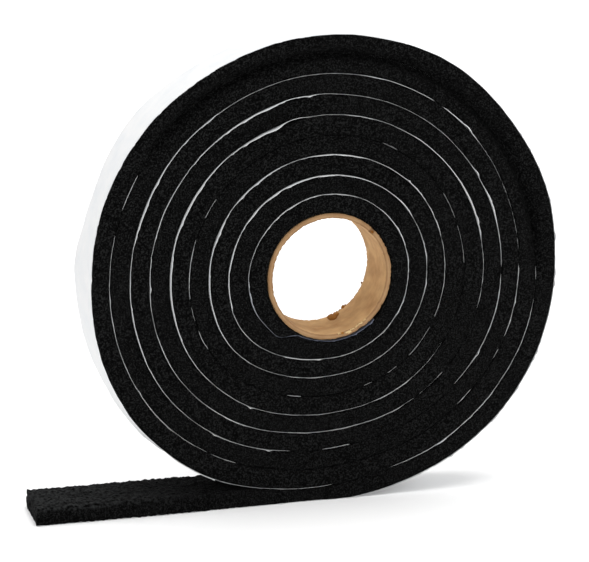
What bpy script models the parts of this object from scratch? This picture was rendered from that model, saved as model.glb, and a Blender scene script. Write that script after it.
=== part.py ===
"""A roll of self-adhesive foam weatherstrip, standing on its own free tail.

Three pieces: the black foam strip, wound nine turns on a core with a straight tail, the white release
liner on the strip's outer side, and the cardboard core tube. Metres, +Z up, +X to the right, the strip's
width along Y. The origin is on the floor, straight below the roll's axis and at the middle of the width.

The foam roll is one solid with a bore. A spiral groove in each end face shows its turns, and the edge of
the liner stands in the groove. Round the outside and under the tail the liner is a full-width sheet.
"""

import math

import bmesh
import bpy

MM = 0.001

# Strip section
STRIP_WIDTH = 19.8 * MM
FOAM_THICKNESS = 5.63 * MM
LINER_THICKNESS = 0.3 * MM
LINER_GAP = 0.2 * MM
TAIL_LENGTH = 95.0 * MM

# Core tube
BORE_DIAMETER = 38.1 * MM
CORE_WALL = 1.5 * MM
CORE_GAP = 0.25 * MM

# Winding
TURNS = 9
START_ANGLE = 240.0
TAIL_ANGLE = 270.0
GROOVE_DEPTH = 2.5 * MM

# Each turn climbs over the one below it within a few degrees of the strip's start
FIRST_CLIMB = 12.0
CLIMB = 21.0
CLIMB_GROWTH = 1.3
CLIMB_DRIFT = 0.9

# The soft roll sags onto the floor and bulges low on the side away from its tail
SAG = 2.1 * MM
SAG_ANGLE = 270.0
BULGE = 1.7 * MM
BULGE_ANGLE = 340.0
LOBE = 60.0
FLATTENING = 0.45 * MM

# Facets, in degrees round a turn: fine across each climb and coarse elsewhere
COARSE_STEP = 9
FINE_STEP = 6
FINE_ZONE = 36
CORE_FACETS = 48

# How far cutters pass the faces they cut, and how the groove narrows where it meets the notch
CUTTER_REACH = 5.0 * MM
NOTCH_INSET = 1 / 16

core_radius = BORE_DIAMETER / 2 + CORE_WALL
foam_bore_radius = core_radius + CORE_GAP
pitch = FOAM_THICKNESS + LINER_THICKNESS + 2 * LINER_GAP
gap_share = (LINER_THICKNESS + 2 * LINER_GAP) / pitch
liner_in_share = LINER_GAP / pitch
liner_out_share = (LINER_GAP + LINER_THICKNESS) / pitch
foam_floor = LINER_THICKNESS + LINER_GAP
last_angle = 360 * (TURNS - 1) + (START_ANGLE - TAIL_ANGLE) % 360


def smooth(share):
    """Rises from 0 at a share of -1 to 1 at a share of +1, level at both ends."""
    t = min(max((share + 1) / 2, 0.0), 1.0)
    return t * t * (3 - 2 * t)


def climbed(angle, climb):
    """How much of a layer's height the strip has climbed at a winding angle, for climb 0, 1, 2 ..."""
    if climb == 0:
        half_width = FIRST_CLIMB
    else:
        half_width = CLIMB + CLIMB_GROWTH * climb
    centre = -CLIMB_DRIFT * climb
    return smooth((angle - centre) / half_width)


def inner_level(angle):
    """Layers under the strip at a winding angle, in degrees clockwise from its start."""
    return sum(climbed(angle - 360 * (n + 1), n) for n in range(TURNS))


def outer_level(angle):
    """The level of the foam's outer side, one liner gap below the next turn."""
    return inner_level(angle + 360) - gap_share


def lobe(bearing, centre, half_width):
    """A smooth bump of height 1 round the bearing at its centre."""
    away = abs((bearing - centre + 180) % 360 - 180)
    if away > half_width:
        return 0.0
    return 0.5 + 0.5 * math.cos(math.pi * away / half_width)


def radius_at(level, bearing):
    """Distance from the axis. Sag and bulge grow with the square of the level."""
    swell = BULGE * lobe(bearing, BULGE_ANGLE, LOBE) - SAG * lobe(bearing, SAG_ANGLE, LOBE)
    return foam_bore_radius + pitch * level + swell * (level / TURNS) ** 2


# The liner's outer side touches the floor under the axis, pressed flat by the flattening
bottom_level = outer_level(last_angle) + liner_out_share
axis_height = radius_at(bottom_level, TAIL_ANGLE) - FLATTENING


def place(level, angle, floor=-1.0):
    """Point (x, z) at a level and a winding angle, kept at or above a height."""
    bearing = START_ANGLE - angle
    r = radius_at(level, bearing)
    x = r * math.cos(math.radians(bearing))
    z = axis_height + r * math.sin(math.radians(bearing))
    return x, max(z, floor)


def stations(first, last):
    """Winding angles from first to last, closer together where the turns climb."""
    climb_steps = range(-FINE_ZONE, FINE_ZONE, FINE_STEP)
    level_steps = range(FINE_ZONE, 360 - FINE_ZONE, COARSE_STEP)
    found = []
    for turn in range(-1, TURNS + 1):
        found += [360 * turn + step for step in (*climb_steps, *level_steps)]
    return [angle for angle in found if first <= angle <= last]


def tail_top():
    """The tail's upper side, from the roll to its end: pressed down where the roll lies on it."""
    full = foam_floor + FOAM_THICKNESS
    points = []
    for angle in stations(last_angle - 360 + FINE_STEP, last_angle - 360 + 10 * FINE_STEP):
        x, z = place(outer_level(angle) + liner_out_share, angle)
        if z - LINER_GAP > full:
            break
        points.append((x, z - LINER_GAP))
    points.append((points[-1][0] - FOAM_THICKNESS, full))
    points.append((-TAIL_LENGTH, full))
    return points


def foam_outline():
    """The roll's outer side, the notch where the tail leaves it, and the tail."""
    around = [place(outer_level(a), a, foam_floor) for a in reversed(stations(last_angle - 360, last_angle))]
    notch = [place(inner_level(last_angle), last_angle)]
    return [(-TAIL_LENGTH, foam_floor)] + around + notch + tail_top()


def groove_sides():
    """Both sides of the gap between the turns. It runs on into the bore and into the notch."""
    first = -FIRST_CLIMB + FINE_STEP
    last = last_angle - 360
    angles = stations(first, last - FINE_STEP)
    below = [place(outer_level(a), a) for a in angles]
    above = [place(outer_level(a) + gap_share, a) for a in angles]
    below.insert(0, place(-2 * gap_share, first - FINE_STEP))
    above.insert(0, place(-gap_share, first - FINE_STEP))
    for angle in (last, last + FINE_STEP):
        below.append(place(outer_level(angle) + NOTCH_INSET * gap_share, angle))
        above.append(place(outer_level(angle) + (1 - NOTCH_INSET) * gap_share, angle))
    return below, above


def liner_sides():
    """Both sides of the liner, from its inner end out to the tail's end."""
    angles = stations(0, last_angle)
    inside = [place(outer_level(a) + liner_in_share, a, LINER_THICKNESS) for a in angles]
    outside = [place(outer_level(a) + liner_out_share, a, 0.0) for a in angles]
    return inside + [(-TAIL_LENGTH, LINER_THICKNESS)], outside + [(-TAIL_LENGTH, 0.0)]


def web_outline():
    """One turn through the middle of the outermost foam, closed across the notch."""
    angles = stations(last_angle - 360, last_angle)
    return [place(outer_level(a) - (1 - gap_share) / 2, a) for a in angles]


def new_object(name, mesh_data, material=None):
    obj = bpy.data.objects.new(name, mesh_data)
    bpy.context.scene.collection.objects.link(obj)
    if material:
        mesh_data.materials.append(material)
    return obj


def extruded(name, points, faces, front, back, material=None):
    """Flat faces in the XZ plane, extruded together from y = front to y = back."""
    bm = bmesh.new()
    corners = [bm.verts.new((x, front, z)) for x, z in points]
    flat = [bm.faces.new([corners[n] for n in face]) for face in faces]
    grown = bmesh.ops.extrude_face_region(bm, geom=flat)
    moved = [v for v in grown["geom"] if isinstance(v, bmesh.types.BMVert)]
    bmesh.ops.translate(bm, verts=moved, vec=(0, back - front, 0))
    bmesh.ops.recalc_face_normals(bm, faces=bm.faces)
    data = bpy.data.meshes.new(name)
    bm.to_mesh(data)
    bm.free()
    return new_object(name, data, material)


def prism(name, outline, front, back, material=None):
    """A closed outline, extruded."""
    return extruded(name, outline, [range(len(outline))], front, back, material)


def ribbon(name, sides, front, back, material=None):
    """A band between two lines of as many points each, extruded."""
    one, other = sides
    count = len(one)
    faces = [(n, n + 1, n + 1 + count, n + count) for n in range(count - 1)]
    return extruded(name, one + other, faces, front, back, material)


def circle(radius):
    """A circle of points round the roll's axis."""
    turn = 2 * math.pi / CORE_FACETS
    return [
        (radius * math.cos(n * turn), axis_height + radius * math.sin(n * turn))
        for n in range(CORE_FACETS)
    ]


def cut(obj, cutter):
    """Cuts one object out of another. The cutter stays as a hidden wire."""
    cutter.hide_render = True
    cutter.display_type = "WIRE"
    modifier = obj.modifiers.new(cutter.name, "BOOLEAN")
    modifier.operation = "DIFFERENCE"
    modifier.solver = "EXACT"
    modifier.object = cutter


def shade(obj):
    """Smooth round sides with sharp edges at the end faces."""
    obj.data.shade_smooth()
    obj.data.set_sharp_from_angle(angle=math.radians(35))


def finish(name, colour, roughness):
    material = bpy.data.materials.new(name)
    material.use_nodes = True
    shader = material.node_tree.nodes["Principled BSDF"]
    shader.inputs["Base Color"].default_value = (*colour, 1.0)
    shader.inputs["Roughness"].default_value = roughness
    shader.inputs["Metallic"].default_value = 0.0
    material.diffuse_color = (*colour, 1.0)
    return material


def build_foam_strip():
    front, back = -STRIP_WIDTH / 2, STRIP_WIDTH / 2
    foam = prism("foam_strip", foam_outline(), front, back, finish("black_foam", (0.02, 0.02, 0.02), 0.9))
    groove = groove_sides()
    cut(foam, prism("foam_bore", circle(foam_bore_radius), front - CUTTER_REACH, back + CUTTER_REACH))
    cut(foam, ribbon("front_groove", groove, front - CUTTER_REACH, front + GROOVE_DEPTH))
    cut(foam, ribbon("back_groove", groove, back - GROOVE_DEPTH, back + CUTTER_REACH))
    shade(foam)


def build_release_liner():
    front, back = -STRIP_WIDTH / 2, STRIP_WIDTH / 2
    liner = ribbon("release_liner", liner_sides(), front, back, finish("white_liner", (0.86, 0.87, 0.88), 0.5))
    web_front = front + GROOVE_DEPTH - LINER_GAP
    cut(liner, prism("inner_turns", web_outline(), web_front, -web_front))
    shade(liner)


def build_core_tube():
    half = STRIP_WIDTH / 2
    core = prism("core_tube", circle(core_radius), -half, half, finish("brown_board", (0.5, 0.33, 0.18), 0.8))
    cut(core, prism("core_bore", circle(BORE_DIAMETER / 2), -half - CUTTER_REACH, half + CUTTER_REACH))
    shade(core)


for old in list(bpy.data.objects):
    bpy.data.objects.remove(old)

build_foam_strip()
build_release_liner()
build_core_tube()
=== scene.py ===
# Looks for a roll of foam weatherstrip: the wound strip, its release liner and the board core
import math
from functools import lru_cache

import bmesh
import bpy
import numpy as np
from mathutils import Matrix, Vector, noise


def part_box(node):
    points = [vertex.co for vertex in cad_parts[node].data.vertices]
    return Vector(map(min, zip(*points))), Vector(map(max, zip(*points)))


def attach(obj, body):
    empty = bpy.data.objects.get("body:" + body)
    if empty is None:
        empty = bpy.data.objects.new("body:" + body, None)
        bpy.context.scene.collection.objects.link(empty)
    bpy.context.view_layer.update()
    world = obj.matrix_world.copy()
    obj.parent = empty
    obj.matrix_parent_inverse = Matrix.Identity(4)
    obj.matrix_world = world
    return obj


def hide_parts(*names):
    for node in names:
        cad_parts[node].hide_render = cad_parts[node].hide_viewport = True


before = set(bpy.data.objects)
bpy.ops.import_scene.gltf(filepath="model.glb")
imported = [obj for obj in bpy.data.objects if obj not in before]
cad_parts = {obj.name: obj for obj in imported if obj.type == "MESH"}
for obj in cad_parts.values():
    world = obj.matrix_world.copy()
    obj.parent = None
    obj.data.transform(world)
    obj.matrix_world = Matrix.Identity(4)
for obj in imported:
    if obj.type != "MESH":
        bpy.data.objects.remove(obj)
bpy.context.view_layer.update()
print("frame loaded:", ", ".join(sorted(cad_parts)))

# noise_vector draws its offsets anew in each run unless the seed is set
grainSeed = 3
noise.seed_set(grainSeed)

coreLow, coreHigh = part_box("core_tube")
stripLow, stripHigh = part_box("foam_strip")
axisHeight = (coreLow[2] + coreHigh[2]) / 2
coreRadius = (coreHigh[0] - coreLow[0]) / 2
halfWidth = (stripHigh[1] - stripLow[1]) / 2

# How the strip is wound. A bearing is in degrees round the axis from +X, counter-clockwise from the front.
# A winding angle is in degrees clockwise from the strip's start, and a level counts layers from the core.
winding = {
    "turns": 9,
    "startBearing": 240,
    "leaveBearing": 270,
    "pitch": 0.00633,
    "boreGap": 0.00025,
    "linerRoom": 0.0003,
    # the first layer's climb over the strip's blunt end: share, middle and half span in degrees
    "firstClimb": [(0.7, 6, 8), (0.3, 32, 38)],
    # the later climbs: how far past the start, how much earlier and how much longer each one is
    "climbLag": 8,
    "climbDrift": 1.5,
    "climbSpan": 36,
    "climbGrowth": 1.6,
    # the soft roll sags onto the floor and bulges low on one side
    "sag": 0.0021,
    "bulge": 0.0017,
    "bulgeBearing": 340,
    "lobeWidth": 60,
    # how far the roll's outer turns swell or sink towards the back, in mm at these bearings,
    # and the powers by which that grows from front to back and from the core outwards
    "backBearings": [100, 131, 137, 144, 152, 161, 167, 173, 178, 187, 197, 209, 218, 224, 230, 238, 246],
    "backStrays": [0, 0.5, 1.0, 0.7, 0.3, -0.8, -0.3, 1.9, 3.2, 2.2, 1.8, 1.6, 3.4, 5.0, 5.2, 3.4, 0],
    "backRise": 1.5,
    "outerRise": 8,
    # how far the liner strays outwards from an even winding, in tenths of a millimetre: one row for
    # each turn and one value every 20 degrees, the first row for the film before the strip starts
    "strayStep": 20,
    "strayUnit": 0.0001,
    "strays": [
        [0, 0, 0, 0, 0, 0, 0, 0, 0, 0, 0, 0, 0, 3, 7, 8, 7, 5],
        [6, -1, 3, -1, -4, -6, -4, -2, -2, -1, -2, -2, -3, -1, -1, -1, 0, 2],
        [1, 2, 0, 1, 0, 0, -2, -3, -4, -4, -3, -3, -3, -3, -3, -4, -4, -1],
        [-1, -1, -3, 1, 3, 2, 0, -1, -3, -3, -2, -4, -5, -4, -4, -4, -3, -2],
        [-3, -4, -4, 1, 1, -1, -2, -2, -3, -4, -3, -4, -3, -3, -2, -2, -2, -2],
        [-1, -5, -5, -1, 1, 0, -4, -3, -4, -4, -2, -2, 1, 0, -2, -2, -4, -5],
        [-1, -2, -2, 0, 2, 0, -1, 1, -4, -4, -4, -3, -1, 1, -4, -5, -7, -6],
        [0, -1, -3, -1, 0, 2, -1, 0, -2, -2, -3, -5, -5, -4, -10, -7, -6, -3],
        [0, 0, -2, 0, 2, 1, -1, -2, -2, -2, -3, -3, -4, -4, -7, -5, -6, 1],
        [10, 3, -2, -5, 0, 0, -7, -6, -5, 2, -3, 1, -7, -6, -5, -4, -1, 0],
    ],
    # degrees between the points at which a wound line's length is added up
    "pathStep": 1.0,
}


# rises from 0 at -1 to 1 at +1, level at both ends
def smoothStep(share):
    t = min(max((share + 1) / 2, 0), 1)
    return t * t * (3 - 2 * t)


# the first layer climbs over the strip's blunt end, and each later one over the climb below it
def climbed(angle, climb):
    if climb == 0:
        return sum(share * smoothStep((angle - middle) / halfSpan)
                   for share, middle, halfSpan in winding["firstClimb"])
    halfSpan = winding["climbSpan"] + winding["climbGrowth"] * climb
    return smoothStep((angle + winding["climbDrift"] * climb - winding["climbLag"]) / halfSpan)


# layers between the core and the strip's inner side
@lru_cache(maxsize=None)
def levelUnder(angle):
    return sum(climbed(angle - 360 * (n + 1), n) for n in range(winding["turns"]))


# a smooth bump of height 1 round a bearing
def lobe(bearing, centre, halfSpan):
    away = abs((bearing - centre + 180) % 360 - 180)
    return 0.5 + 0.5 * math.cos(math.pi * away / halfSpan) if away < halfSpan else 0


def bearingAt(angle):
    return (winding["startBearing"] - angle) % 360


def stray(angle):
    values = [v for row in winding["strays"] for v in row]
    justInside = len(values) - 1.001
    place = min(max((angle + 360) / winding["strayStep"], 0), justInside)
    whole = int(place)
    share = smoothStep(2 * (place - whole) - 1)
    return (values[whole] + (values[whole + 1] - values[whole]) * share) * winding["strayUnit"]


# radius of the line that the liner follows, from the film under the strip's start to the last turn
@lru_cache(maxsize=None)
def lineRadius(angle):
    bearing = bearingAt(angle)
    level = levelUnder(angle + 360)
    swell = winding["bulge"] * lobe(bearing, winding["bulgeBearing"], winding["lobeWidth"])
    swell -= winding["sag"] * lobe(bearing, winding["leaveBearing"], winding["lobeWidth"])
    even = coreRadius + winding["boreGap"] - winding["linerRoom"] / 2 + winding["pitch"] * level
    return even + swell * (level / winding["turns"]) ** 2 + stray(angle)


# how much further out the back of an outer turn lies than its front
def backStray(angle, y):
    toBack = max(0, 0.5 + 0.5 * y / halfWidth) ** winding["backRise"]
    outer = min(1, max(0, angle / lastAngle)) ** winding["outerRise"]
    atBack = float(np.interp(bearingAt(angle), winding["backBearings"], winding["backStrays"]))
    return toBack * outer * atBack / 1000


# radius of a layer at a share of its thickness
# room is what the liner takes on each side, 0 where foam meets foam
def layerRadius(angle, share, innerRoom, outerRoom):
    inner = lineRadius(angle - 360) + innerRoom
    outer = lineRadius(angle) - outerRoom
    return inner + (outer - inner) * share


def atRadius(radius, bearing):
    turn = math.radians(bearing)
    return radius * math.cos(turn), axisHeight + radius * math.sin(turn)


# the winding angle at which the strip leaves the roll and runs out along the floor
lastAngle = 360 * (winding["turns"] - 1) + (winding["startBearing"] - winding["leaveBearing"]) % 360

# a cut this close to a vertex goes through it: the bar's own cuts, and the finer ones for the grain
cutWeld = 1e-7
grainWeld = 2e-5


# length along a wound line, from a first winding angle to where the strip leaves the roll
class Path:
    def __init__(self, first, radius, tail):
        step = winding["pathStep"]
        self.angles = np.arange(first, lastAngle + step / 2, step)
        points = np.array([atRadius(radius(a), bearingAt(a)) for a in self.angles])
        steps = np.hypot(*np.diff(points, axis=0).T)
        self.lengths = np.concatenate([[0], np.cumsum(steps)])
        self.wound = float(self.lengths[-1])
        self.length = self.wound + tail

    def angleAt(self, length):
        return float(np.interp(length, self.lengths, self.angles))


# A flat bar along +X, width along Y, thickness up from z = 0, cut across many times so that it can bend
def flatBar(length, width, thickness, rounding, acrossWidth, acrossThickness, stepLength):
    bar = bmesh.new()
    bmesh.ops.create_cube(bar, size=1)
    bmesh.ops.scale(bar, vec=(length, width, thickness), verts=bar.verts)
    bmesh.ops.translate(bar, vec=(length / 2, 0, thickness / 2), verts=bar.verts)
    if rounding:
        bmesh.ops.bevel(bar, geom=longEdges(bar, length), offset=rounding, affect="EDGES",
                        segments=3, profile=0.5, material=-1)
    for share in acrossWidth:
        cutAcross(bar, (0, share * width, 0), (0, 1, 0))
    for share in acrossThickness:
        cutAcross(bar, (0, 0, share * thickness), (0, 0, 1))
    bmesh.ops.subdivide_edges(bar, edges=longEdges(bar, length), cuts=round(length / stepLength),
                              use_grid_fill=True)
    return bar


# more cuts beyond a place along the bar, so that coarse grain can stand out there
def cutFiner(bar, beyond, length, width, thickness, size):
    def cutAll(normal, first, last):
        for place in np.arange(first + size / 2, last, size):
            faces = [f for f in bar.faces if f.calc_center_median().x > beyond]
            edges = list(dict.fromkeys(e for f in faces for e in f.edges))
            verts = list(dict.fromkeys(v for e in edges for v in e.verts))
            bmesh.ops.bisect_plane(bar, geom=verts + edges + faces, dist=grainWeld, plane_no=normal,
                                   plane_co=Vector(normal) * float(place))
    cutAll((1, 0, 0), beyond, length)
    cutAll((0, 1, 0), -width / 2, width / 2)
    cutAll((0, 0, 1), 0, thickness)


def longEdges(bar, length):
    return [e for e in bar.edges if abs(e.verts[0].co.x - e.verts[1].co.x) > length / 2]


def cutAcross(bar, point, normal):
    everything = bar.verts[:] + bar.edges[:] + bar.faces[:]
    bmesh.ops.bisect_plane(bar, geom=everything, dist=cutWeld, plane_co=point, plane_no=normal)


def finishMesh(shape, name):
    bmesh.ops.recalc_face_normals(shape, faces=shape.faces)
    mesh = bpy.data.meshes.new(name)
    shape.to_mesh(mesh)
    shape.free()
    mesh.shade_smooth()
    piece = bpy.data.objects.new(name, mesh)
    bpy.context.scene.collection.objects.link(piece)
    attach(piece, "root")
    return piece


strip = {
    "linerClear": 0.00015,
    "firstAngle": -2,
    "faceWidth": 0.0193,
    "rounding": 0.0005,
    "stepLength": 0.0011,
    # where the bar is cut lengthwise, as shares of its width from the middle and of its thickness
    "widthCuts": (-0.4, -0.25, 0, 0.3),
    "thicknessCuts": (0.2, 0.4, 0.6, 0.8),
    "tailFloor": 0.0001,
    "tailThickness": 0.0057,
    # the open tail lies this far in front of the roll, from this far along
    "tailAskew": 0.0012,
    "askewRun": 0.03,
    # degrees of the roll's underside that press on the tail
    "roofSpan": 60,
    "roofStep": 2.0,
    # the open tail has coarser grain and is cut finer
    "openFrom": 0.03,
    "grainCut": 0.00062,
    "tailGrainDepth": 0.00042,
    "tailGrainSize": 0.00095,
    "grainBlend": 0.01,
    "tailTop": 0.0065,
    "floorClear": 0.00005,
    # painted light: the tail's top is painted lighter, standing in for light from above falling on it out
    # of the roll's shade, from this far along and down to this depth
    "topLightFrom": 0.058,
    "topLightRun": 0.025,
    "topLightDown": 0.0013,
    "topLightEdge": 0.0006,
    # how far each turn's end face stands out of the roll's front, in mm
    "standOut": [0, -0.1, 0.12, -0.05, 0.1, -0.12, 0.05, -0.1, 0.12, -0.1, -0.1],
    "faceRise": 4,
    "unevenDepth": 0.00025,
    "unevenLength": 0.014,
    # how deep the foam closes over a hidden edge of the liner
    "closeDepth": 0.0012,
    "closeBlend": 0.0006,
    "grainDepth": 0.00008,
    "grainSize": 0.0013,
    "edgeRag": 0.00044,
    "edgeRagSize": 0.0022,
    "ragFrom": 0.7,
    "ragSpan": 0.3,
    # the shadowed groove between the last two turns: bearings, how gently it ends, how deep and how wide
    "groove": {"first": -8, "last": 152, "ends": 8, "depth": 0.0030, "width": 0.0017},
}


# how far a turn's end face stands out, changing over the second half of each turn
def standOutAt(angle):
    turn = max(angle, 0) / 360
    whole = int(turn)
    table = strip["standOut"]
    here, there = table[min(whole, len(table) - 1)], table[min(whole + 1, len(table) - 1)]
    return (here + (there - here) * smoothStep((turn - whole) * 4 - 3)) / 1000


# the end faces' slow unevenness, different at the front and the back
def faceWander(x, z, side):
    return noise.noise(Vector((x, z, 0.1 * side)) / strip["unevenLength"]) * strip["unevenDepth"]


# height of the foam's top over the tail, where the roll lies on it
def tailRoof():
    first = lastAngle - 360
    angles = np.arange(first, first + strip["roofSpan"], strip["roofStep"])
    points = [atRadius(lineRadius(a) + strip["linerClear"], bearingAt(a)) for a in angles]
    return [-x for x, z in points], [z for x, z in points]


def buildStrip():
    path = Path(strip["firstAngle"], lambda a: layerRadius(a, 0.5, 0, 0), -stripLow[0])
    thickness = winding["pitch"] - winding["linerRoom"]
    bar = flatBar(path.length, strip["faceWidth"], thickness, strip["rounding"],
                  strip["widthCuts"], strip["thicknessCuts"], strip["stepLength"])
    cutFiner(bar, path.wound + strip["openFrom"], path.length, strip["faceWidth"], thickness,
             strip["grainCut"])
    roofX, roofZ = tailRoof()
    # painted light: the tail's top gets lighter colours away from the roll, standing in for light from
    # above and the roll's shade
    paintedTopLight = bar.verts.layers.float.new("paintedTopLight")
    for v in bar.verts:
        onTop = smoothStep((strip["topLightDown"] - v.co.z) / strip["topLightEdge"])
        v[paintedTopLight] = onTop * smoothStep((v.co.x - path.wound - strip["topLightFrom"]) / strip["topLightRun"])
        v.co = woundFoam(v.co, path, thickness, roofX, roofZ)
    addGrain(bar)
    return finishMesh(bar, "foam_coil")


# where a point of the flat bar lies in the roll or the tail
def woundFoam(flat, path, thickness, roofX, roofZ):
    share = flat.z / thickness
    side = 1 if flat.y > 0 else -1
    nearFace = (2 * abs(flat.y) / strip["faceWidth"]) ** strip["faceRise"]
    if flat.x <= path.wound:
        angle = path.angleAt(flat.x)
        room = winding["linerRoom"] / 2
        beyond = abs(flat.y) - strip["faceWidth"] / 2 + strip["closeDepth"]
        closing = 0 if side > 0 else smoothStep(beyond / strip["closeBlend"])
        innerRoom = room * (1 - closing * (1 - openness(angle - 360)))
        outerRoom = room * (1 - closing * (1 - openness(angle)))
        radius = layerRadius(angle, share, innerRoom, outerRoom)
        radius += (1 - share) * backStray(angle - 360, flat.y) + share * backStray(angle, flat.y)
        x, z = atRadius(radius, bearingAt(angle))
        z = max(z, strip["tailFloor"])
        stand = standOutAt(angle) - grooveAt(angle, share, thickness)
    else:
        x = path.wound - flat.x
        top = min(strip["tailFloor"] + strip["tailThickness"], float(np.interp(-x, roofX, roofZ)))
        z = strip["tailFloor"] + (top - strip["tailFloor"]) * (1 - share)
        stand = standOutAt(lastAngle)
    stand += faceWander(x, z, side) + edgeRagAt(x, z, share)
    return Vector((x, flat.y + side * stand * nearFace - askewAt(flat.x - path.wound), z))


# how far the open tail lies in front of the roll
def askewAt(along):
    return strip["tailAskew"] * smoothStep(along / strip["askewRun"] - 1)


# the two outer turns fall back from the line between them
def grooveAt(angle, share, thickness):
    groove = strip["groove"]
    bearing = (bearingAt(angle) + 90) % 360 - 90
    inside = smoothStep(min(bearing - groove["first"], groove["last"] - bearing) / groove["ends"] - 1)
    turn = math.floor(angle / 360)
    if turn == winding["turns"] - 2:
        away = 1 - share
    elif turn == winding["turns"] - 1:
        away = share
    else:
        return 0
    return groove["depth"] * inside * math.exp(-(away * thickness / groove["width"]) ** 2)


# rag along the strip's long corners
def edgeRagAt(x, z, share):
    corner = max(0, abs(share - 0.5) * 2 - strip["ragFrom"]) / strip["ragSpan"]
    return -corner * abs(noise.noise(Vector((x, z, 4)) / strip["edgeRagSize"])) * strip["edgeRag"]


# foam grain all over, coarser on the open tail, and nothing below the floor
def addGrain(shape):
    for v in shape.verts:
        push = noise.noise_vector(v.co / strip["grainSize"]) * strip["grainDepth"]
        onTail = smoothStep((-v.co.x - strip["openFrom"]) / strip["grainBlend"])
        if onTail and v.co.z < strip["tailTop"]:
            push += noise.noise_vector(v.co / strip["tailGrainSize"]) * strip["tailGrainDepth"] * onTail
        v.co += push
        v.co.z = max(v.co.z, strip["floorClear"])


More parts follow.
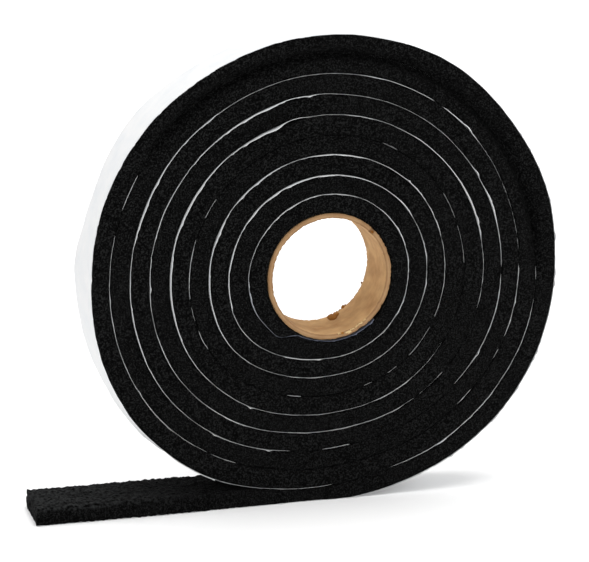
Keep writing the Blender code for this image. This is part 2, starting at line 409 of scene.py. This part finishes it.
liner = {
    "thickness": 0.00009,
    "firstAngle": -76,
    "stepLength": 0.0007,
    "widthCuts": (-0.46, -0.3, 0, 0.3, 0.44),
    # how deep a hidden edge lies and where the foam shuts over it, in mm of the front edge's stand
    "hidden": -2.4,
    "shut": -0.7,
    "shutBlend": 0.15,
    "rampDegrees": 2,
    # how far either edge may stand past the strip's width, and how the edges' shaping fades inwards
    "reach": 0.0014,
    "edgeRise": 6,
    "wobbleDepth": 0.00013,
    "wobbleLength": 0.0045,
    "wobbleSkew": 40,
    # fray and beads of the front edge, in mm; beads come only above a height of the noise and of the stand
    "frayDepth": 0.2,
    "frayLength": 0.0021,
    "beadDepth": 2.0,
    "beadLength": 0.0018,
    "beadFrom": 0.25,
    "beadStand": 0.3,
    # the back edge: farthest out, middle, wander and its two lengths
    "backMost": 0.0002,
    "backMiddle": -0.0004,
    "backWander": 0.0016,
    "backLengths": (0.09, 0.02),
    # winding angle where the bluish starting film gives way to the white liner
    "filmEnd": 38,
    "filmBlend": 60,
    # kinks in the front edge: line, bearing, half width in degrees, rise, and how far further out in mm
    "kinks": [(3, 50, 1.5, 0.0003, 0.4), (4, 204, 4, 0.0003, 0), (5, 19, 1.5, 0.0002, 0.3),
              (5, 105, 7, 0.0009, 0), (5, 112, 5, -0.0003, 0.3), (5, 238, 1.5, 0.0003, 0.4),
              (6, 33, 2.5, 0.0004, 0.4), (6, 104, 6, 0.0004, 0), (6, 98, 1.5, -0.0003, 0.4),
              (6, 137, 1.5, 0.0003, 0.4), (6, 171, 1.5, 0.0003, 0.3), (6, 181, 1.5, -0.0003, 0.3),
              (6, 251, 1.5, 0.0003, 0.4), (6, 331, 2, 0.0003, 0.3), (7, 46, 3, 0.0004, 0.2),
              (7, 126, 1.5, 0.0003, 0.4), (7, 203, 3, 0.0002, 0), (7, 233, 1.5, 0.0003, 0.4),
              (8, 209, 1.5, -0.0003, 0.3), (8, 222, 3, 0.0002, 0), (8, 328, 1.5, -0.0003, 0.4)],
    # where each line shows, in runs of (bearing, how far the liner's front edge stands out in mm)
    "showing": {
        0: [[(235, -0.1), (325, -0.1)]],
        1: [[(0, 0.2), (4, -0.3), (8, 0), (18, -0.6), (24, 0.5), (35, 1), (44, 0.1), (51, 0.5),
            (59, -0.5), (64, -0.3), (69, -0.6), (73, -0.3), (77, -0.4), (83, 0.7), (88, -0.2), (92, 0.1),
            (96, -0.5), (99, -0.1), (104, -0.2), (108, 0.1), (113, -0.3), (119, 0.6), (126, -0.3),
            (144, -0.1), (158, -0.6), (164, -0.2), (170, -0.6), (187, -0.2), (200, 0.6), (207, -0.2),
            (221, -0.6), (235, -0.5), (239, 0.3), (242, 0), (245, 0.3), (248, 0), (262, 0), (268, -0.6),
            (287, -0.3), (296, -0.6), (304, -0.3), (327, -0.4), (332, 0), (349, -0.6), (355, -0.2),
            (360, -0.4)]],
        2: [[(0, -0.6), (4, -0.6), (10, 0.2), (24, -0.6), (32, -0.6), (34, -0.3), (38, 0.9), (40, 1.1),
            (46, 1.4), (54, 0.6), (60, 1.5), (67, 1.6), (81, 1.5), (86, 0.8), (96, 1.6), (100, 0.6),
            (111, 1.1), (120, 0.5), (124, 1.5), (131, 0.5), (136, 0.5), (140, 1.1), (152, -0.3),
            (160, 0.5), (170, 0.7), (176, 0.3), (183, 0.6), (189, 0.3), (194, 0.5), (198, -0.4),
            (202, -0.1), (207, -0.4), (213, 0.3), (227, -0.6), (234, -0.6), (246, -0.6), (250, -0.1),
            (256, -0.6), (264, -0.2), (270, -0.6), (323, -0.4), (341, -0.6), (352, -0.2), (356, -0.6),
            (360, -0.5)]],
        3: [[(0, -0.5), (16, -0.6), (21, 0), (27, -0.3), (30, 0.4), (35, -0.6), (43, 0.8), (48, 0.7),
            (52, 1.6), (62, 1.6), (64, 1.2), (68, -0.5), (70, -0.5), (73, -0.2), (78, 1.6), (84, 1.6),
            (89, 0.5), (92, 1.1), (95, 0.4), (98, 0.4), (101, -0.4), (107, -0.5), (114, -0.3), (118, 0.4),
            (122, 0.3), (126, 0.7), (133, 0.3), (138, 0.6), (142, -0.3), (147, -0.4), (149, -0.2),
            (153, 0.9), (160, 1), (169, 0), (174, 0.6), (184, 1.1), (190, 0.5), (197, 1.1), (204, 0.5),
            (218, 0.8), (228, -0.6), (240, -0.6)], [(251, -0.6), (257, -0.4)], [(289, -0.6), (293, -0.6)],
            [(302, -0.6), (307, -0.6)], [(315, -0.6), (332, -0.6)], [(337, -0.6), (347, -0.6), (352, -0.3),
            (360, -0.6)]],
        4: [[(3, -0.66), (19, -0.66)], [(22, -0.62), (34, -0.67)], [(62, -0.55), (68, -0.6)], [(145, -0.6),
            (153, -0.6)], [(163, -0.6), (176, -0.2), (186, -0.5)], [(190, -0.6), (195, -0.6)],
            [(200, -0.6), (204, 0.2), (208, -0.5)], [(240, -0.5), (289, -0.6), (294, -0.1), (301, -0.4),
            (305, 0.1), (310, -0.6), (329, -0.6)]],
        5: [[(0, -0.6), (11, -0.5), (17, 0.7), (27, 1.4), (42, 0.4), (57, 0.6), (66, -0.4), (73, -0.5),
            (80, 0.3), (86, -0.6), (97, -0.6), (100, -0.2), (104, 1.6), (106, 1.6), (111, 1.2), (114, 1.6),
            (119, 1.6), (125, 0.2), (130, -0.2), (145, 0.5), (150, 1.4), (153, 1.6), (159, 0.6),
            (163, 0.7), (168, 0.2), (174, 1.6), (193, 1.6), (199, 0.5), (204, 0.2), (209, 0.1), (212, 0.9),
            (214, 1.1), (222, -0.5), (228, 0), (232, -0.6), (238, -0.1), (244, -0.6), (256, -0.6),
            (260, -0.2), (265, -0.6), (279, -0.3), (284, -0.6), (298, -0.3), (301, -0.6), (305, -0.6)],
            [(308, -0.6), (319, -0.6)], [(345, -0.6), (360, -0.6)]],
        6: [[(0, -0.6), (13, -0.4), (21, 1.1), (30, -0.5), (34, -0.1), (37, -0.6), (90, -0.6), (95, -0.3),
            (99, 0.8), (108, 1.1), (112, 1.6), (115, 1.1), (119, 1.2), (131, 0), (137, 0.5), (141, -0.4),
            (161, 0.2), (168, -0.6), (180, 0.1), (191, -0.62), (197, -0.2), (201, 0.7), (205, 0.7),
            (209, 0.5), (212, -0.4), (214, -0.6), (222, -0.6), (227, 0.1), (231, 0), (234, 0.3),
            (244, -0.6), (250, -0.2), (254, -0.6), (258, -0.6)], [(269, -0.6), (278, -0.2)], [(319, -0.5),
            (350, -0.3), (358, -0.6)]],
        7: [[(0, -0.6), (1, -0.6)], [(5, -0.65), (30, -0.68), (40, -0.65), (50, 1.1), (52, 0.9),
            (55, -0.3)], [(59, -0.5), (63, 0.8), (66, 1.3), (78, 0.6), (83, -0.6), (117, -0.6),
            (124, -0.5), (127, 0.3), (131, -0.1),
            (143, -0.1), (150, 0.8), (155, 0.6), (158, 1.4), (169, -0.4), (174, -0.4), (179, 0),
            (183, -0.1), (189, 0.9), (196, 0.8), (200, 1.6), (204, 1.6), (215, -0.3), (220, 0),
            (224, -0.6), (227, -0.6), (235, -0.1), (243, -0.6)], [(315, -0.6), (317, -0.3), (321, -0.6)],
            [(332, -0.6), (335, -0.5)], [(339, -0.6), (343, -0.3), (346, -0.6), (349, -0.3), (354, -0.6),
            (360, -0.2)]],
        8: [[(151, -0.5), (156, -0.1), (160, -0.5)], [(167, -0.6), (177, -0.6), (189, 0), (196, -0.6),
            (202, -0.1), (206, -0.5), (215, 0.4), (218, -0.3), (221, -0.3), (224, -0.6), (234, -0.6)],
            [(236, -0.66), (244, -0.61), (262, -0.54), (272, -0.65)], [(289, -0.6), (309, -0.1),
            (314, -0.4), (319, -0.2), (327, -0.6), (339, -0.4), (351, -0.6)], [(356, -0.6), (360, -0.6)]],
        9: [[(0, -0.1), (204, -0.1), (212, 0.6), (238, 0.6), (246, -0.1), (360, -0.1)]],
    },
}


# how far the liner's front edge stands out of the foam in mm, from the runs where it shows
@lru_cache(maxsize=None)
def frontStand(angle):
    bearing = bearingAt(angle)
    best = liner["hidden"]
    for run in liner["showing"].get(math.floor(angle / 360) + 1, ()):
        bearings, stands = zip(*run)
        inside = min(bearing - bearings[0], bearings[-1] - bearing) + liner["rampDegrees"]
        share = smoothStep(2 * inside / liner["rampDegrees"] - 1)
        stand = float(np.interp(bearing, bearings, stands))
        best = max(best, liner["hidden"] + (stand - liner["hidden"]) * share)
    return best


# 1 where the foam leaves a gap for the liner's edge, 0 where it closes over it
def openness(angle):
    if angle < 0:
        return 1
    return smoothStep((frontStand(angle) - liner["shut"]) / liner["shutBlend"])


# rise of the liner's front edge and how far further out it stands, summed over the kinks near it
@lru_cache(maxsize=None)
def kinkAt(angle):
    line, bearing = math.floor(angle / 360) + 1, bearingAt(angle)
    near = [(lobe(bearing, at, wide), rise, out) for n, at, wide, rise, out in liner["kinks"] if n == line]
    return sum(share * rise for share, rise, out in near), sum(share * out for share, rise, out in near)


def buildLiner():
    path = Path(liner["firstAngle"], lineRadius, -stripLow[0])
    bar = flatBar(path.length, 2 * halfWidth, liner["thickness"], 0, liner["widthCuts"], (),
                  liner["stepLength"])
    film = bar.verts.layers.float.new("startFilm")
    for v in bar.verts:
        angle = path.angleAt(v.co.x)
        v.co = woundLiner(v.co, path)
        v[film] = 1 - smoothStep((angle - liner["filmEnd"]) / liner["filmBlend"])
    return finishMesh(bar, "liner_film")


# where a point of the flat liner lies in the roll or under the tail
def woundLiner(flat, path):
    angle = path.angleAt(flat.x)
    outward = flat.z - liner["thickness"] / 2
    edge = (abs(flat.y) / halfWidth) ** liner["edgeRise"]
    if flat.x <= path.wound:
        rise = kinkAt(angle)[0] if flat.y < 0 else 0
        ripple = Vector((flat.x / liner["wobbleLength"], flat.y * liner["wobbleSkew"], 3.1))
        wobble = noise.noise(ripple) * liner["wobbleDepth"]
        radius = lineRadius(angle) + backStray(angle, flat.y) + outward + (rise + wobble) * edge
        x, z = atRadius(radius, bearingAt(angle))
        z = max(z, liner["thickness"] / 2 - outward)
    else:
        x, z = path.wound - flat.x, liner["thickness"] / 2 - outward
    askew = askewAt(flat.x - path.wound)
    if flat.y < 0:
        fray = noise.noise(Vector((flat.x / liner["frayLength"], 0, 0))) * liner["frayDepth"]
        lump = noise.noise(Vector((flat.x / liner["beadLength"], 7.5, 0)))
        bead = max(0, lump - liner["beadFrom"]) * liner["beadDepth"]
        fray += bead * smoothStep((frontStand(angle) + liner["beadStand"]) / liner["beadStand"])
        face = (standOutAt(angle) + standOutAt(angle + 360)) / 2 + faceWander(x, z, -1)
        face -= grooveAt(angle, 1, 1)  # as deep as the foam right beside the line
        y = -strip["faceWidth"] / 2 - face - (frontStand(angle) + kinkAt(angle)[1] + fray) / 1000
    else:
        y = halfWidth + backStand(flat.x)
    y = flat.y + (y - math.copysign(halfWidth, flat.y)) * edge
    return Vector((x, max(min(y, halfWidth + liner["reach"]), -halfWidth - liner["reach"]) - askew, z))


# how far the liner's back edge stands past the strip's width
def backStand(along):
    long, short = liner["backLengths"]
    slow = noise.noise(Vector((along / long, 5.5, 0)))
    quick = noise.noise(Vector((along / short, 1.5, 0)))
    return min(liner["backMost"], liner["backMiddle"] + liner["backWander"] * (slow + 0.5 * quick))


core = {
    "wall": 0.0015,
    "segments": 300,
    "rows": 26,
    "columns": 5,
    "unevenDepth": 0.00008,
    "unevenLength": 0.003,
    # the front and back rims: how close to the end they start, their rounding, rag and wander
    "endRise": 40,
    "rounding": 0.00022,
    "roundRise": 4,
    "rag": 0.00036,
    "ragSize": 0.0009,
    "rimWander": 0.00022,
    # the rims are darker from this deep
    "rimDark": 0.0001,
    "rimBlend": 0.0003,
    # bearing, depth and half width in degrees of each nick in the front rim
    "nicks": [(46, 0.0011, 4), (58, 0.0005, 2.5), (20, 0.0004, 3), (302, 0.0007, 5), (330, 0.0004, 3)],
    # torn paper: bearing, radius and place along the roll in mm, size in mm, and its tone from pale (0.3)
    # to dark orange (1); then how it is crumpled
    "scraps": [(290, 18.9, 6.6, (3.2, 5.0, 1.7), 0.8), (295, 18.9, 7.6, (2.0, 3.2, 1.3), 0.65),
               (298, 19.3, 9.7, (1.3, 0.9, 0.7), 0.7), (306, 18.9, 9.6, (1.4, 1.0, 1.1), 0.75),
               (309, 19.2, 9.7, (1.0, 0.8, 0.7), 0.7), (302, 19.2, 9.7, (0.9, 0.6, 0.6), 0.8),
               (286, 19.3, 9.7, (1.2, 0.7, 0.5), 0.6), (280, 19.3, 9.8, (0.8, 0.5, 0.4), 0.5),
               (337, 19.0, 9.8, (0.8, 0.6, 0.7), 0.9), (46, 19.7, -9.7, (1.3, 0.8, 0.7), 1),
               (281, 19.1, -9.7, (1.6, 0.5, 0.4), 0.35), (284, 19.3, -9.8, (1.3, 0.6, 0.5), 0.7),
               (287, 19.5, -9.8, (1.5, 0.5, 0.5), 0.3), (290.5, 19.7, -9.9, (1.7, 0.6, 0.6), 0.3),
               (294, 19.3, -9.6, (1.6, 0.5, 0.4), 0.3), (299, 19.2, -9.6, (1.4, 0.4, 0.4), 0.35),
               (304, 19.1, -9.7, (1.8, 0.4, 0.4), 0.3), (309, 19.1, -9.7, (1.2, 0.4, 0.3), 0.4)],
    "crumpleScale": 1800,
    "crumpleDepth": 0.00034,
}


def buildCore():
    # a closed section of the wall at +X, spun round the roll's axis
    onEdge = 1e-6
    tube = bmesh.new()
    bmesh.ops.create_grid(tube, x_segments=core["columns"], y_segments=core["rows"], size=0.5)
    bmesh.ops.scale(tube, vec=(core["wall"], 2 * halfWidth, 1), verts=tube.verts)
    bmesh.ops.translate(tube, vec=(coreRadius - core["wall"] / 2, 0, 0), verts=tube.verts)
    bmesh.ops.delete(tube, geom=tube.faces[:], context="FACES_ONLY")
    inner = [v for v in tube.verts if abs(abs(v.co.y) - halfWidth) > onEdge
             and abs(abs(v.co.x - coreRadius + core["wall"] / 2) - core["wall"] / 2) > onEdge]
    bmesh.ops.delete(tube, geom=inner, context="VERTS")
    bmesh.ops.spin(tube, geom=tube.verts[:] + tube.edges[:], cent=(0, 0, 0), axis=(0, 1, 0), dvec=(0, 0, 0),
                   angle=2 * math.pi, steps=core["segments"], use_merge=True, use_duplicate=False)
    torn = tube.verts.layers.float.new("torn")
    rim = tube.verts.layers.float.new("rim")
    for v in tube.verts:
        v[rim] = smoothStep((abs(v.co.y) - halfWidth + core["rimDark"]) / core["rimBlend"])
        v.co = worn(v.co)
    for bearing, radius, along, size, tone in core["scraps"]:
        addScrap(tube, torn, bearing, radius / 1000, along / 1000, size, tone)
    bmesh.ops.translate(tube, vec=(0, 0, axisHeight), verts=tube.verts)
    return finishMesh(tube, "core_board")


# a rim that is a little rounded, ragged and nicked
def worn(co):
    radius = math.hypot(co.x, co.z)
    bearing = math.degrees(math.atan2(co.z, co.x)) % 360
    middle = coreRadius - core["wall"] / 2
    fromMiddle = (radius - middle) / (core["wall"] / 2)
    atEnd = (abs(co.y) / halfWidth) ** core["endRise"]
    ragged = noise.noise(co / core["ragSize"])
    back = core["rounding"] * abs(fromMiddle) ** core["roundRise"] + core["rag"] * abs(ragged)
    if co.y < 0:
        back += sum(deep * lobe(bearing, at, wide) for at, deep, wide in core["nicks"])
    uneven = core["unevenDepth"] * noise.noise(co / core["unevenLength"])
    swell = 1 + (uneven + core["rimWander"] * atEnd * ragged) / radius
    return Vector((co.x * swell, co.y - math.copysign(back * atEnd, co.y), co.z * swell))


# one crumpled scrap of torn paper, set round the rim: a ball 1 mm across, stretched to its size
def addScrap(tube, torn, bearing, radius, along, size, tone):
    made = bmesh.ops.create_icosphere(tube, subdivisions=3, radius=0.0005)["verts"]
    bmesh.ops.scale(tube, vec=(size[2], size[1], size[0]), verts=made)
    for v in made:
        crumple = noise.noise_vector(v.co * core["crumpleScale"] + Vector((bearing, 0, 0)))
        v.co += crumple * core["crumpleDepth"]
        v[torn] = tone
    bmesh.ops.translate(tube, vec=(radius, along, 0), verts=made)
    aroundAxis = Matrix.Rotation(-math.radians(bearing), 3, "Y")
    bmesh.ops.rotate(tube, cent=(0, 0, 0), matrix=aroundAxis, verts=made)


# Materials: patterns read Object coordinates or an attribute of the piece
def newMaterial(name, colour):
    material = bpy.data.materials.new(name)
    material.use_nodes = True
    material.diffuse_color = (*colour, 1)
    nodes = material.node_tree.nodes
    return material, nodes, material.node_tree.links, nodes["Principled BSDF"]


# a node with its properties set, or its sockets where the name is no property: Socket_Name
def addNode(nodes, kind, **values):
    node = nodes.new(kind)
    for name, value in values.items():
        if hasattr(node, name):
            setattr(node, name, value)
        else:
            node.inputs[name.replace("_", " ")].default_value = value
    return node


# a colour ramp from (position, colour) pairs
def addRamp(nodes, stops):
    ramp = nodes.new("ShaderNodeValToRGB")
    elements = ramp.color_ramp.elements
    while len(elements) < len(stops):
        elements.new(0.5)
    for element, (position, colour) in zip(elements, stops):
        element.position = position
        element.color = (*colour, 1)
    return ramp


foamLook = {
    "dark": (0.0001, 0.0001, 0.0001),
    "mid": (0.0006, 0.0006, 0.0006),
    "speck": (0.0150, 0.0153, 0.0153),
    # painted light: lighter colours for the tail's top, standing in for light from above
    "topLightDark": (0.0005, 0.0005, 0.0005),
    "topLightSpeck": (0.0235, 0.0245, 0.0245),
    "grainScale": 2300.0,
    "lumpScale": 900.0,
    "cellScale": 1900.0,
    "lumpShare": 0.2,
    "roughness": 0.75,
    "shine": 0.035,
}


def foamMaterial():
    material, nodes, links, shader = newMaterial("black_foam", (0.01, 0.01, 0.01))
    coords = addNode(nodes, "ShaderNodeTexCoord")
    cells = addNode(nodes, "ShaderNodeTexVoronoi", feature="F1", Scale=foamLook["cellScale"],
                    Randomness=1.0)
    grain = addNode(nodes, "ShaderNodeTexNoise", Scale=foamLook["grainScale"], Detail=2.0, Roughness=0.6)
    lumps = addNode(nodes, "ShaderNodeTexNoise", Scale=foamLook["lumpScale"], Detail=3.0, Roughness=0.6)
    for texture in (cells, grain, lumps):
        links.new(coords.outputs["Object"], texture.inputs["Vector"])
    blend = addNode(nodes, "ShaderNodeMix", data_type="FLOAT")
    blend.inputs["Factor"].default_value = foamLook["lumpShare"]
    links.new(grain.outputs["Fac"], blend.inputs["A"])
    links.new(lumps.outputs["Fac"], blend.inputs["B"])
    ramp = addRamp(nodes, [(0.42, foamLook["dark"]), (0.50, foamLook["mid"]), (0.60, foamLook["speck"])])
    links.new(blend.outputs["Result"], ramp.inputs["Fac"])
    # painted light: lighter colours mixed in over the tail's top, where light from above falls out of the
    # roll's shade
    paintedTopLight = addNode(nodes, "ShaderNodeAttribute", attribute_name="paintedTopLight")
    topLightRamp = addRamp(nodes, [(0.40, foamLook["topLightDark"]), (0.62, foamLook["topLightSpeck"])])
    links.new(lumps.outputs["Fac"], topLightRamp.inputs["Fac"])
    topLightMix = addNode(nodes, "ShaderNodeMix", data_type="RGBA")
    links.new(paintedTopLight.outputs["Fac"], topLightMix.inputs["Factor"])
    links.new(ramp.outputs["Color"], topLightMix.inputs["A"])
    links.new(topLightRamp.outputs["Color"], topLightMix.inputs["B"])
    links.new(topLightMix.outputs["Result"], shader.inputs["Base Color"])
    cellBump = addNode(nodes, "ShaderNodeBump", Strength=0.7, Distance=0.0002)
    links.new(cells.outputs["Distance"], cellBump.inputs["Height"])
    lumpBump = addNode(nodes, "ShaderNodeBump", Strength=1.0, Distance=0.0007)
    links.new(lumps.outputs["Fac"], lumpBump.inputs["Height"])
    links.new(cellBump.outputs["Normal"], lumpBump.inputs["Normal"])
    links.new(lumpBump.outputs["Normal"], shader.inputs["Normal"])
    shader.inputs["Roughness"].default_value = foamLook["roughness"]
    shader.inputs["Specular IOR Level"].default_value = foamLook["shine"]
    return material


linerLook = {
    "cool": (0.69, 0.705, 0.72),
    "warm": (0.75, 0.75, 0.75),
    "film": (0.12, 0.14, 0.20),
    "cloudScale": 140.0,
    "fibreScale": 900.0,
    "roughness": 0.5,
    "shine": 0.35,
}


def linerMaterial():
    material, nodes, links, shader = newMaterial("white_liner", (0.88, 0.88, 0.89))
    coords = addNode(nodes, "ShaderNodeTexCoord")
    cloud = addNode(nodes, "ShaderNodeTexNoise", Scale=linerLook["cloudScale"], Detail=4.0, Roughness=0.6)
    fibre = addNode(nodes, "ShaderNodeTexNoise", Scale=linerLook["fibreScale"], Detail=5.0, Roughness=0.65)
    for texture in (cloud, fibre):
        links.new(coords.outputs["Object"], texture.inputs["Vector"])
    ramp = addRamp(nodes, [(0.35, linerLook["cool"]), (0.65, linerLook["warm"])])
    links.new(cloud.outputs["Fac"], ramp.inputs["Fac"])
    film = addNode(nodes, "ShaderNodeAttribute", attribute_name="startFilm")
    mix = addNode(nodes, "ShaderNodeMix", data_type="RGBA")
    links.new(film.outputs["Fac"], mix.inputs["Factor"])
    links.new(ramp.outputs["Color"], mix.inputs["A"])
    mix.inputs["B"].default_value = (*linerLook["film"], 1)
    links.new(mix.outputs["Result"], shader.inputs["Base Color"])
    bump = addNode(nodes, "ShaderNodeBump", Strength=0.25, Distance=0.0002)
    links.new(fibre.outputs["Fac"], bump.inputs["Height"])
    links.new(bump.outputs["Normal"], shader.inputs["Normal"])
    shader.inputs["Roughness"].default_value = linerLook["roughness"]
    shader.inputs["Specular IOR Level"].default_value = linerLook["shine"]
    return material


boardLook = {
    "dark": (0.47, 0.275, 0.125),
    "mid": (0.56, 0.35, 0.165),
    "light": (0.64, 0.42, 0.205),
    "plyShade": (0.55, 0.5, 0.45),
    "plyShare": 0.35,
    "tornPale": (0.66, 0.49, 0.25),
    "tornMid": (0.34, 0.15, 0.03),
    "tornDark": (0.20, 0.07, 0.008),
    "rimShade": (0.54, 0.49, 0.52),
    "cloudScale": 120.0,
    "fibreScale": 700.0,
    "plyScale": 310.0,
    "roughness": 0.85,
    "shine": 0.2,
}


def boardMaterial():
    material, nodes, links, shader = newMaterial("brown_board", (0.5, 0.33, 0.18))
    coords = addNode(nodes, "ShaderNodeTexCoord")
    toAxis = addNode(nodes, "ShaderNodeMapping")
    toAxis.inputs["Location"].default_value = (0, 0, -axisHeight)
    links.new(coords.outputs["Object"], toAxis.inputs["Vector"])
    cloud = addNode(nodes, "ShaderNodeTexNoise", Scale=boardLook["cloudScale"], Detail=5.0, Roughness=0.65)
    fibre = addNode(nodes, "ShaderNodeTexNoise", Scale=boardLook["fibreScale"], Detail=6.0, Roughness=0.7)
    plies = addNode(nodes, "ShaderNodeTexWave", wave_type="RINGS", rings_direction="Y",
                    Scale=boardLook["plyScale"], Distortion=1.2)
    for texture in (cloud, fibre, plies):
        links.new(toAxis.outputs["Vector"], texture.inputs["Vector"])
    ramp = addRamp(nodes, [(0.3, boardLook["dark"]), (0.5, boardLook["mid"]), (0.72, boardLook["light"])])
    links.new(cloud.outputs["Fac"], ramp.inputs["Fac"])
    mix = addNode(nodes, "ShaderNodeMix", data_type="RGBA", blend_type="MULTIPLY")
    mix.inputs["Factor"].default_value = boardLook["plyShare"]
    plyRamp = addRamp(nodes, [(0.2, boardLook["plyShade"]), (0.6, (1, 1, 1))])
    links.new(plies.outputs["Fac"], plyRamp.inputs["Fac"])
    links.new(ramp.outputs["Color"], mix.inputs["A"])
    links.new(plyRamp.outputs["Color"], mix.inputs["B"])
    # the torn scraps take their colour from their tone, which is 0 on the board itself
    tear = addNode(nodes, "ShaderNodeAttribute", attribute_name="torn")
    isTorn = addNode(nodes, "ShaderNodeMath", operation="GREATER_THAN")
    isTorn.inputs[1].default_value = 0.1
    links.new(tear.outputs["Fac"], isTorn.inputs[0])
    tearRamp = addRamp(nodes, [(0.3, boardLook["tornPale"]), (0.65, boardLook["tornMid"]),
                               (1.0, boardLook["tornDark"])])
    links.new(tear.outputs["Fac"], tearRamp.inputs["Fac"])
    tearMix = addNode(nodes, "ShaderNodeMix", data_type="RGBA")
    links.new(isTorn.outputs["Value"], tearMix.inputs["Factor"])
    links.new(tearRamp.outputs["Color"], tearMix.inputs["B"])
    rim = addNode(nodes, "ShaderNodeAttribute", attribute_name="rim")
    rimMix = addNode(nodes, "ShaderNodeMix", data_type="RGBA", blend_type="MULTIPLY")
    links.new(rim.outputs["Fac"], rimMix.inputs["Factor"])
    links.new(mix.outputs["Result"], rimMix.inputs["A"])
    rimMix.inputs["B"].default_value = (*boardLook["rimShade"], 1)
    links.new(rimMix.outputs["Result"], tearMix.inputs["A"])
    links.new(tearMix.outputs["Result"], shader.inputs["Base Color"])
    bump = addNode(nodes, "ShaderNodeBump", Strength=0.5, Distance=0.0002)
    links.new(fibre.outputs["Fac"], bump.inputs["Height"])
    links.new(bump.outputs["Normal"], shader.inputs["Normal"])
    shader.inputs["Roughness"].default_value = boardLook["roughness"]
    shader.inputs["Specular IOR Level"].default_value = boardLook["shine"]
    return material


# Camera, floor and light
view = {
    "place": (-0.1931, -0.5891, 0.2201),
    "yaw": 17.37,
    "pitch": 13.50,
    "roll": 1.09,
    "lens": 120.6,
    "sensor": 36,
    "nearest": 0.01,
    "farthest": 50,
}


def addCamera():
    camera = bpy.data.cameras.new("photo_view")
    camera.lens = view["lens"]
    camera.sensor_width = view["sensor"]
    camera.clip_start = view["nearest"]
    camera.clip_end = view["farthest"]
    holder = bpy.data.objects.new("photo_view", camera)
    bpy.context.scene.collection.objects.link(holder)
    turn = Matrix.Rotation(-math.radians(view["yaw"]), 4, "Z")
    tilt = Matrix.Rotation(math.radians(90 - view["pitch"]), 4, "X")
    roll = Matrix.Rotation(math.radians(view["roll"]), 4, "Z")
    holder.matrix_world = Matrix.Translation(view["place"]) @ turn @ tilt @ roll
    bpy.context.scene.camera = holder


studio = {
    "floorSize": 12,
    "floorColour": (0.95, 0.95, 0.95),
    "roomLight": 0.80,
    "sunPower": 2.2,
    "sunSpread": 42,
    "sunFrom": (0.10, -0.01, 1.0),
}


def addFloor():
    sweep = bmesh.new()
    bmesh.ops.create_grid(sweep, x_segments=1, y_segments=1, size=studio["floorSize"] / 2)
    mesh = bpy.data.meshes.new("studio_floor")
    sweep.to_mesh(mesh)
    sweep.free()
    floor = bpy.data.objects.new("studio_floor", mesh)
    bpy.context.scene.collection.objects.link(floor)
    material, nodes, links, shader = newMaterial("studio_white", studio["floorColour"])
    shader.inputs["Base Color"].default_value = (*studio["floorColour"], 1)
    shader.inputs["Roughness"].default_value = 0.9
    mesh.materials.append(material)


def addLights():
    sun = bpy.data.lights.new("soft_sun", "SUN")
    sun.energy = studio["sunPower"]
    sun.angle = math.radians(studio["sunSpread"])
    holder = bpy.data.objects.new("soft_sun", sun)
    bpy.context.scene.collection.objects.link(holder)
    facing = (-Vector(studio["sunFrom"])).to_track_quat("-Z", "Y")
    holder.matrix_world = Matrix.Translation(Vector(studio["sunFrom"])) @ facing.to_matrix().to_4x4()
    world = bpy.data.worlds.new("pale_room")
    world.use_nodes = True
    background = world.node_tree.nodes["Background"]
    background.inputs["Color"].default_value = (1, 1, 1, 1)
    background.inputs["Strength"].default_value = studio["roomLight"]
    bpy.context.scene.world = world


addCamera()
addFloor()
addLights()
bpy.context.scene.view_settings.view_transform = "Standard"
print("camera, floor and lights placed")

foamCoil = buildStrip()
foamCoil.data.materials.append(foamMaterial())
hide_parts("foam_strip")
print("foam wound:", len(foamCoil.data.polygons), "faces")

linerFilm = buildLiner()
linerFilm.data.materials.append(linerMaterial())
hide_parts("release_liner")
print("liner wound:", len(linerFilm.data.polygons), "faces")

coreBoard = buildCore()
coreBoard.data.materials.append(boardMaterial())
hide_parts("core_tube")
print("core built:", len(coreBoard.data.polygons), "faces")
